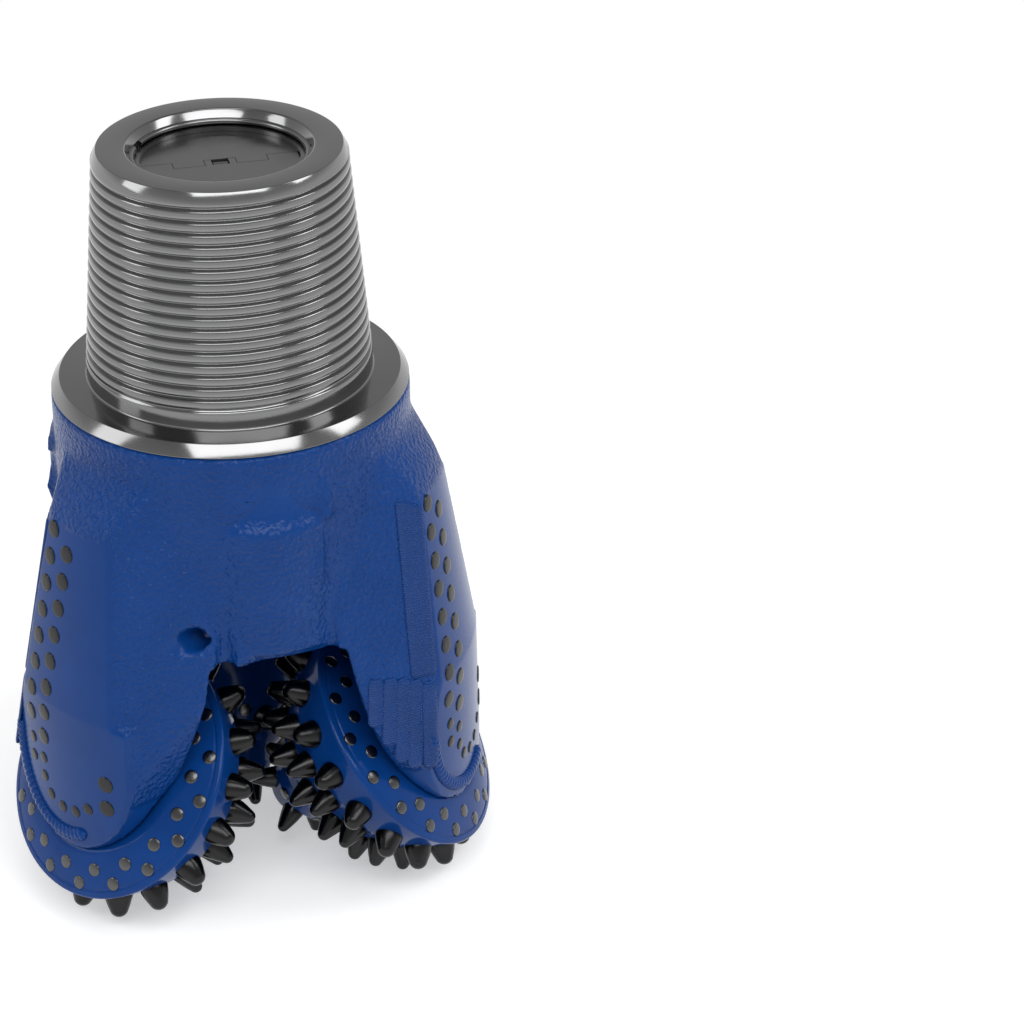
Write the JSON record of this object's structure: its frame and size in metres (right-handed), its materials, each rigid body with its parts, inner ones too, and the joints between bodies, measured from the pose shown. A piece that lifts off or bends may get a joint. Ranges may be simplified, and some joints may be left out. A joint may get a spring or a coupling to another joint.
{
  "type": "rotary drill bit",
  "caption": "Rotary drill bit with a tapered threaded pin, blue forged legs with air jets, and free-turning cones studded with carbide inserts on roller bearings.",
  "frame": {"origin": "centre of the make-up shoulder, on the axis of the bit", "axes": "+Z along the axis towards the drill string; leg 1 faces -Y"},
  "size_m": [0.269, 0.2552, 0.4195],
  "materials": {
    "blue_paint": "satin enamel on forged steel, rough as cast on the flanks",
    "cone_paint": "glossy enamel on turned steel",
    "bare_steel": "turned, bright",
    "carbide": "ground, glossy black",
    "bearing_steel": "ground",
    "valve_steel": "stamped and turned"
  },
  "bodies": {
    "bit_body": {"pin_shank": "bare_steel", "leg_1": "blue_paint", "leg_2": "blue_paint", "leg_3": "blue_paint", "leg_buttons_1": "carbide", "leg_buttons_2": "carbide", "leg_buttons_3": "carbide", "jet_nozzle_1": "carbide", "jet_nozzle_2": "carbide", "jet_nozzle_3": "carbide", "nozzle_lock_pin_1": "bearing_steel", "nozzle_lock_pin_2": "bearing_steel", "nozzle_lock_pin_3": "bearing_steel", "ball_plug_1": "bearing_steel", "ball_plug_2": "bearing_steel", "ball_plug_3": "bearing_steel", "thrust_button_1": "bearing_steel", "thrust_button_2": "bearing_steel", "thrust_button_3": "bearing_steel", "valve_body": "valve_steel", "valve_snap_ring": "valve_steel", "valve_hinge_pin": "valve_steel", "valve_spring": "valve_steel"},
    "cutter_1": {"cone_1": "cone_paint", "heel_buttons_1": "carbide", "gauge_inserts_1": "carbide", "inner_inserts_1": "carbide"},
    "cutter_2": {"cone_2": "cone_paint", "heel_buttons_2": "carbide", "gauge_inserts_2": "carbide", "inner_inserts_2": "carbide"},
    "cutter_3": {"cone_3": "cone_paint", "heel_buttons_3": "carbide", "gauge_inserts_3": "carbide", "inner_inserts_3": "carbide"},
    "bearing_set_1": {"main_rollers_1": "bearing_steel", "retaining_balls_1": "bearing_steel", "nose_rollers_1": "bearing_steel"},
    "bearing_set_2": {"main_rollers_2": "bearing_steel", "retaining_balls_2": "bearing_steel", "nose_rollers_2": "bearing_steel"},
    "bearing_set_3": {"main_rollers_3": "bearing_steel", "retaining_balls_3": "bearing_steel", "nose_rollers_3": "bearing_steel"},
    "flap_right": {"valve_flap_right": "valve_steel"},
    "flap_left": {"valve_flap_left": "valve_steel"}
  },
  "joints": [
    {"name": "cutter_1_spin", "type": "hinge", "parent": "bit_body", "child": "cutter_1", "pos_m": [-0.003, 0, -0.2846], "axis": [0, -0.7902, 0.6129], "continuous": true},
    {"name": "cutter_2_spin", "type": "hinge", "parent": "bit_body", "child": "cutter_2", "pos_m": [0.0015, -0.0026, -0.2846], "axis": [0.6843, 0.3951, 0.6129], "continuous": true},
    {"name": "cutter_3_spin", "type": "hinge", "parent": "bit_body", "child": "cutter_3", "pos_m": [0.0015, 0.0026, -0.2846], "axis": [-0.6843, 0.3951, 0.6129], "continuous": true},
    {"name": "bearing_set_1_orbit", "type": "hinge", "parent": "bit_body", "child": "bearing_set_1", "pos_m": [-0.003, 0, -0.2846], "axis": [0, -0.7902, 0.6129], "continuous": true},
    {"name": "bearing_set_2_orbit", "type": "hinge", "parent": "bit_body", "child": "bearing_set_2", "pos_m": [0.0015, -0.0026, -0.2846], "axis": [0.6843, 0.3951, 0.6129], "continuous": true},
    {"name": "bearing_set_3_orbit", "type": "hinge", "parent": "bit_body", "child": "bearing_set_3", "pos_m": [0.0015, 0.0026, -0.2846], "axis": [-0.6843, 0.3951, 0.6129], "continuous": true},
    {"name": "flap_right_hinge", "type": "hinge", "parent": "bit_body", "child": "flap_right", "pos_m": [0, 0, 0.1135], "axis": [0.5446, 0.8387, 0], "range_deg": [0, 65], "stiffness_Nm_per_rad": 0.1, "springref_deg": -34.38},
    {"name": "flap_left_hinge", "type": "hinge", "parent": "bit_body", "child": "flap_left", "pos_m": [0, 0, 0.1135], "axis": [-0.5446, -0.8387, 0], "range_deg": [0, 65], "stiffness_Nm_per_rad": 0.1, "springref_deg": -34.38}
  ],
  "couplings": [
    {"joint": "bearing_set_1_orbit", "follows": "cutter_1_spin", "ratio": 0.58209},
    {"joint": "bearing_set_2_orbit", "follows": "cutter_2_spin", "ratio": 0.58209},
    {"joint": "bearing_set_3_orbit", "follows": "cutter_3_spin", "ratio": 0.58209}
  ]
}
